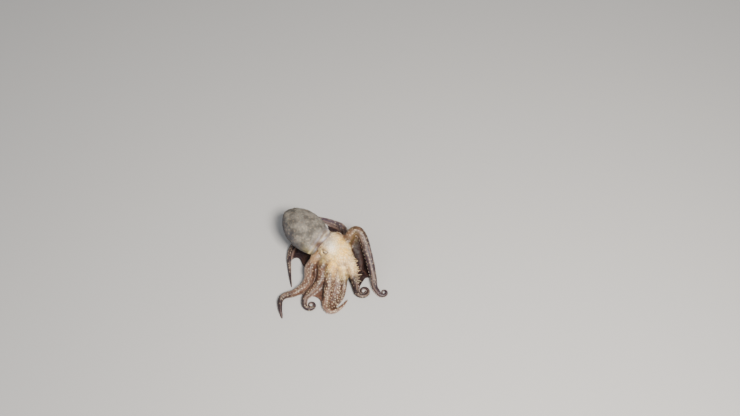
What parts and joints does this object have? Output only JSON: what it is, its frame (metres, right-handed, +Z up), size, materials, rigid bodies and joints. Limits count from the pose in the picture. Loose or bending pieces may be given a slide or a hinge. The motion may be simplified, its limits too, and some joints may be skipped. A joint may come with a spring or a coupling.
{
  "type": "octopus",
  "caption": "Still life-size octopus resting on the floor, mantle raised behind the head, webbed arms spread forward and curled at their tips.",
  "frame": {"origin": "middle of the bounding box at floor level", "axes": "+Z up, +X and a little -Y the way the head faces, +Y to the animal's left; the floor is z = 0"},
  "size_m": [0.2258, 0.2498, 0.0883],
  "materials": {
    "mantle": "wet mottled skin, grey to pinkish brown",
    "head": "wet mottled skin, cream with brown folds",
    "crown": "wet pale cream skin",
    "funnel": "wet smooth skin",
    "eye": "wet clear cornea over a golden-brown iris with a dark slit",
    "arm": "wet brown skin with paler spots, pale suckers below",
    "web": "wet thin dark skin"
  },
  "bodies": {
    "root": {"eye_right": "eye", "eye_left": "eye", "head": "head", "crown": "crown", "mantle": "mantle", "funnel": "funnel", "arm_left_1_base": "arm", "arm_left_1_middle": "arm", "arm_left_1_tip": "arm", "arm_left_2_base": "arm", "arm_left_2_upper": "arm", "arm_left_2_lower": "arm", "arm_left_2_tip": "arm", "arm_left_3_base": "arm", "arm_left_3_upper": "arm", "arm_left_3_lower": "arm", "arm_left_3_tip": "arm", "arm_left_4_base": "arm", "arm_left_4_upper": "arm", "arm_left_4_lower": "arm", "arm_left_4_tip": "arm", "arm_right_1_base": "arm", "arm_right_1_middle": "arm", "arm_right_1_tip": "arm", "arm_right_2_base": "arm", "arm_right_2_middle": "arm", "arm_right_2_tip": "arm", "arm_right_3_base": "arm", "arm_right_3_middle": "arm", "arm_right_3_tip": "arm", "arm_right_4_base": "arm", "arm_right_4_upper": "arm", "arm_right_4_lower": "arm", "arm_right_4_tip": "arm", "web_front": "web", "web_left_1_2": "web", "web_left_2_3": "web", "web_left_3_4": "web", "web_back": "web", "web_right_3_4": "web", "web_right_2_3": "web", "web_right_1_2": "web"}
  },
  "joints": []
}
